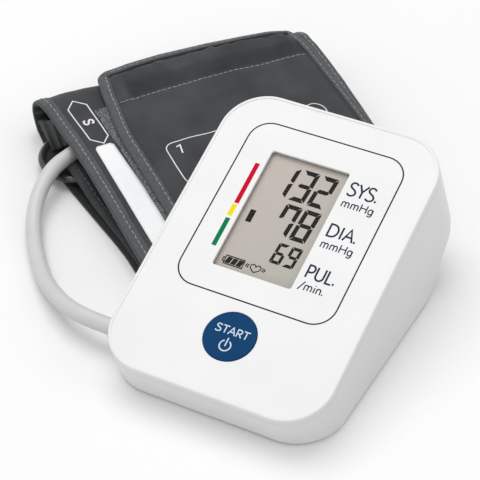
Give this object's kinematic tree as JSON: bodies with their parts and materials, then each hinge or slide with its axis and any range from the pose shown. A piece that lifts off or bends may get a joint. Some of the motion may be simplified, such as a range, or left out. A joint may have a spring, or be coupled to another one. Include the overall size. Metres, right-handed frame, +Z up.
{
  "type": "upper-arm blood pressure monitor",
  "caption": "Upper-arm blood pressure monitor: wedge-shaped desk unit with a display and a start button, and a D-ring arm cuff folded behind it on a grey air hose.",
  "frame": {"origin": "centre of the desk unit's resting base, on the table", "axes": "+Z up, +X to the unit's right seen from its front, +Y to its rear"},
  "size_m": [0.2147, 0.2464, 0.0668],
  "materials": {
    "shell_white": "satin",
    "window_clear": "gloss",
    "lcd_glass": "satin",
    "button_blue": "satin",
    "rubber_grey": "matte",
    "plain_steel": "satin",
    "board_green": "satin",
    "black_plastic": "matte",
    "white_plastic": "matte",
    "silicone": "matte",
    "cell_wrap": "gloss",
    "nylon_charcoal": "woven",
    "lining_grey": "woven",
    "pile_grey": "pile",
    "bladder_rubber": "matte",
    "ring_black": "gloss",
    "hose_grey": "satin",
    "plug_grey": "satin"
  },
  "bodies": {
    "monitor": {"top_case": "shell_white", "bottom_case": "shell_white", "rubber_feet": "rubber_grey", "case_screws": "plain_steel", "display_window": "window_clear", "lcd_panel": "lcd_glass", "lcd_holder": "white_plastic", "connector_strips": "black_plastic", "start_switch": "black_plastic", "circuit_board": "board_green", "board_screws": "plain_steel", "buzzer": "black_plastic", "controller_chip": "black_plastic", "pump_motor": "plain_steel", "pump_head": "white_plastic", "pump_cradle": "white_plastic", "exhaust_valve": "plain_steel", "pressure_sensor": "black_plastic", "air_manifold": "white_plastic", "inner_tubes": "silicone", "air_socket": "plug_grey", "dc_jack": "black_plastic", "jack_pin": "plain_steel", "aa_cells": "cell_wrap", "cell_contacts": "plain_steel", "cell_springs": "plain_steel"},
    "start_button": {"start_button": "button_blue", "switch_plunger": "black_plastic"},
    "battery_cover": {"battery_cover": "shell_white"},
    "cuff": {"cuff_wrap": "nylon_charcoal", "cuff_lining": "lining_grey", "cuff_bladder": "bladder_rubber", "pile_patch": "pile_grey", "cuff_flap": "nylon_charcoal", "d_ring": "ring_black", "hose_port": "plug_grey", "air_hose": "hose_grey", "air_plug": "plug_grey", "plug_seal": "bladder_rubber"}
  },
  "joints": [
    {"name": "button_press", "type": "slide", "parent": "monitor", "child": "start_button", "axis": [0, 0.342, -0.9397], "range_m": [0, 0.0006], "stiffness_N_per_m": 1500},
    {"name": "battery_cover_slide", "type": "slide", "parent": "monitor", "child": "battery_cover", "axis": [0, 1, 0], "range_m": [0, 0.009]},
    {"name": "cuff_unplug", "type": "slide", "parent": "monitor", "child": "cuff", "axis": [-1, 0, 0], "range_m": [0, 0.016]}
  ]
}
